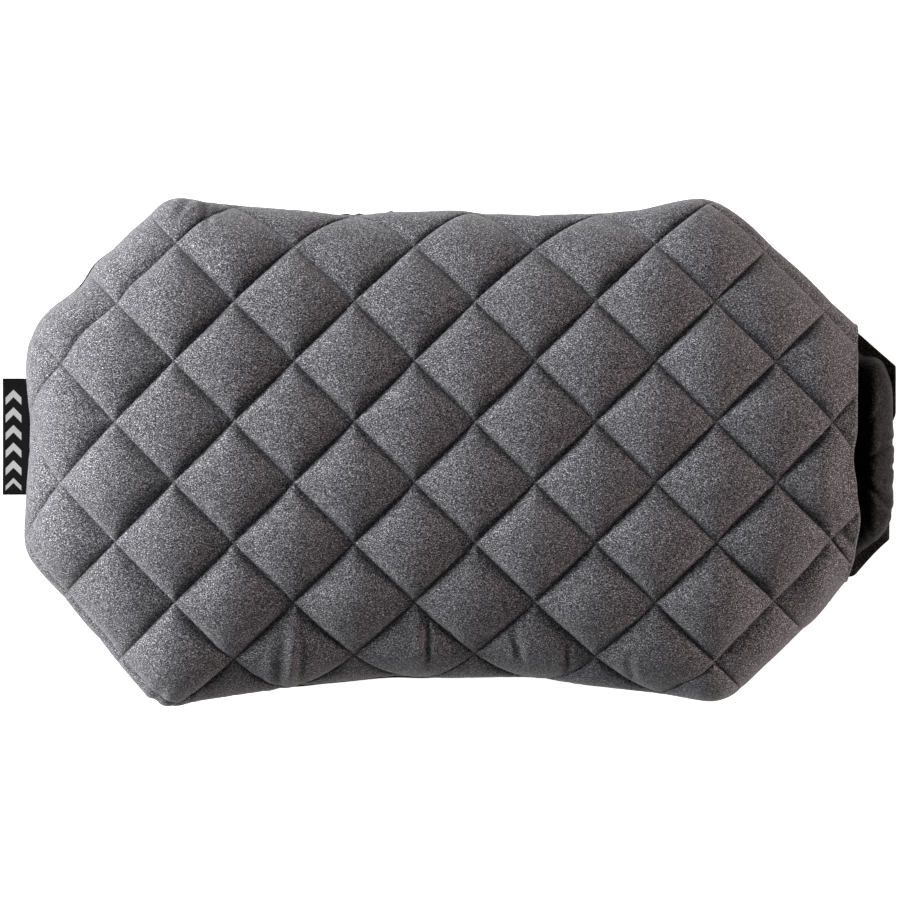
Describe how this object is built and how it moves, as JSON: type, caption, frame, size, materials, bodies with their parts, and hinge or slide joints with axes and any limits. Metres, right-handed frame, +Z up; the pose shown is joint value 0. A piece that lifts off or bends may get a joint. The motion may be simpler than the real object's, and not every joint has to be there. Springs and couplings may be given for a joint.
{
  "type": "camp pillow",
  "caption": "Inflatable camp pillow in a quilted cover with a plain back, an open end that shows the air bladder, and a flat valve with a deflate lid and an inflate cap.",
  "frame": {"origin": "middle of the face that the pillow rests on, level with the middle of its straight long sides", "axes": "+X runs along the pillow from the closed, labelled end of the cover to its open end with the valve; +Y across it; +Z up, towards the quilted face"},
  "size_m": [0.567, 0.3188, 0.14],
  "materials": {
    "quilt_face": "brushed heather grey polyester, matt",
    "wadding": "loose polyester wadding",
    "lining": "thin plain-woven lining",
    "back_fabric": "black plain-woven polyester, matt",
    "trim": "black woven tape",
    "label": "black damask-woven label",
    "bladder_fabric": "black polyester laminated with polyurethane, soft sheen",
    "valve_plastic": "black moulded polyurethane, fine texture",
    "valve_cap_plastic": "charcoal moulded polyurethane, smooth",
    "silicone": "translucent silicone"
  },
  "bodies": {
    "pillow": {"cover_face": "quilt_face", "quilt_wadding": "wadding", "quilt_lining": "lining", "mouth_facing": "trim", "cover_back": "back_fabric", "back_facing": "trim", "seam_binding": "trim", "side_label": "label", "bladder_top": "bladder_fabric", "bladder_base": "bladder_fabric", "bladder_flange": "bladder_fabric", "baffle_front": "bladder_fabric", "baffle_rear": "bladder_fabric", "valve_weld_disc": "valve_plastic", "valve_barrel": "valve_plastic", "deflate_lid_pin": "valve_cap_plastic"},
    "deflate_lid": {"deflate_lid": "valve_plastic", "inflate_cap_pin": "valve_cap_plastic"},
    "inflate_cap": {"inflate_cap": "valve_cap_plastic"},
    "check_flap": {"check_flap": "silicone"}
  },
  "joints": [
    {"name": "deflate_lid_hinge", "type": "hinge", "parent": "pillow", "child": "deflate_lid", "pos_m": [0.26839, 0, 0.0269], "axis": [0, 1, 0], "range_deg": [0, 120]},
    {"name": "inflate_cap_hinge", "type": "hinge", "parent": "deflate_lid", "child": "inflate_cap", "pos_m": [0.27703, 0.0078, 0.03711], "axis": [0.5115, 0, 0.8593], "range_deg": [0, 150]},
    {"name": "check_flap_lift", "type": "slide", "parent": "deflate_lid", "child": "check_flap", "axis": [-0.8593, 0, 0.5115], "range_m": [0, 0.0012], "stiffness_N_per_m": 2}
  ]
}
